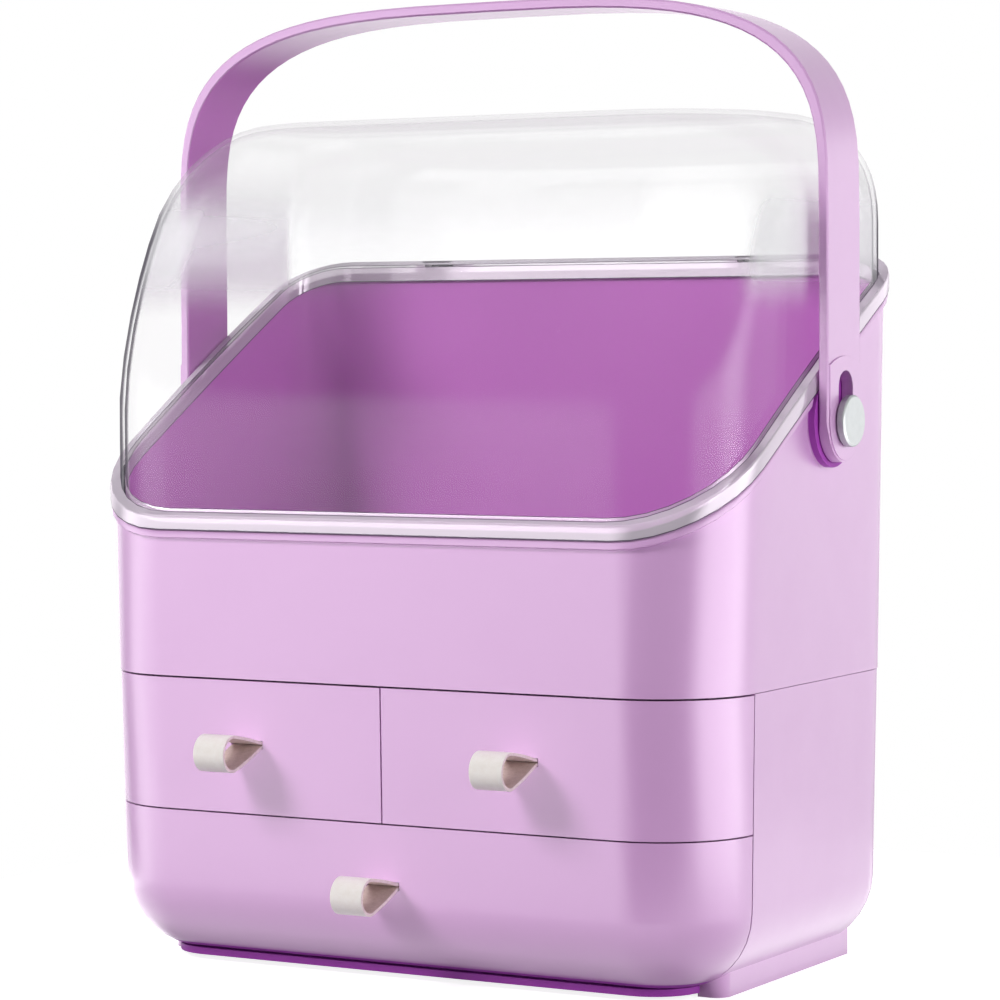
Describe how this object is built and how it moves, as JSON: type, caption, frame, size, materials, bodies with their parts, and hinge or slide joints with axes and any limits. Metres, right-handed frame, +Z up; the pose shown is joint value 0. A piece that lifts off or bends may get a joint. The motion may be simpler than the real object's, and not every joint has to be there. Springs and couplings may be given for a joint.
{
  "type": "dustproof makeup organizer",
  "caption": "Cabinet of wrap-round drawers under an open tray with a slanted rim, closed by a hinged clear dome and carried by a bail handle.",
  "frame": {"origin": "middle of the bounding box in X and Y, on the underside of the two side runners, where the organizer stands", "axes": "+Z up, -Y out of the front with the drawers, +X to the right as seen from the back, which is the right side for someone facing the front"},
  "size_m": [0.3076, 0.2082, 0.3828],
  "materials": {
    "shell": "satin lilac moulded plastic",
    "handle": "satin lilac moulded plastic",
    "inner_parts": "matt lilac plastic",
    "clear_lid": "clear polished plastic",
    "pull_leather": "soft cream leather",
    "silver_caps": "satin silver",
    "steel_pins": "plain steel"
  },
  "bodies": {
    "cabinet": {"lower_casing": "shell", "casing_shelf": "inner_parts", "drawer_divider": "inner_parts", "upper_tray": "shell", "casing_screw_1": "steel_pins", "casing_screw_2": "steel_pins", "casing_screw_3": "steel_pins", "casing_screw_4": "steel_pins", "hinge_pin_left": "steel_pins", "hinge_pin_right": "steel_pins", "pivot_stud_left": "handle", "pivot_stud_right": "handle", "stud_cap_left": "silver_caps", "stud_cap_right": "silver_caps"},
    "lid": {"lid_dome": "clear_lid"},
    "handle": {"handle_bail": "handle"},
    "left_drawer": {"drawer_left": "shell", "pull_strap_left": "pull_leather", "pull_clip_left": "inner_parts"},
    "right_drawer": {"drawer_right": "shell", "pull_strap_right": "pull_leather", "pull_clip_right": "inner_parts"},
    "bottom_drawer": {"drawer_bottom": "shell", "pull_strap_bottom": "pull_leather", "pull_clip_bottom": "inner_parts"}
  },
  "joints": [
    {"name": "lid_open", "type": "hinge", "parent": "cabinet", "child": "lid", "pos_m": [0, 0.10009, 0.27783], "axis": [-1, 0, 0], "range_deg": [0, 100]},
    {"name": "handle_swing", "type": "hinge", "parent": "cabinet", "child": "handle", "pos_m": [0, 0.02163, 0.2163], "axis": [-1, 0, 0], "range_deg": [0, 145.5]},
    {"name": "drawer_left_slide", "type": "slide", "parent": "cabinet", "child": "left_drawer", "axis": [0, -1, 0], "range_m": [0, 0.11]},
    {"name": "drawer_right_slide", "type": "slide", "parent": "cabinet", "child": "right_drawer", "axis": [0, -1, 0], "range_m": [0, 0.11]},
    {"name": "drawer_bottom_slide", "type": "slide", "parent": "cabinet", "child": "bottom_drawer", "axis": [0, -1, 0], "range_m": [0, 0.11]}
  ],
  "couplings": [
    {"joint": "handle_swing", "follows": "lid_open", "ratio": 1.45}
  ]
}
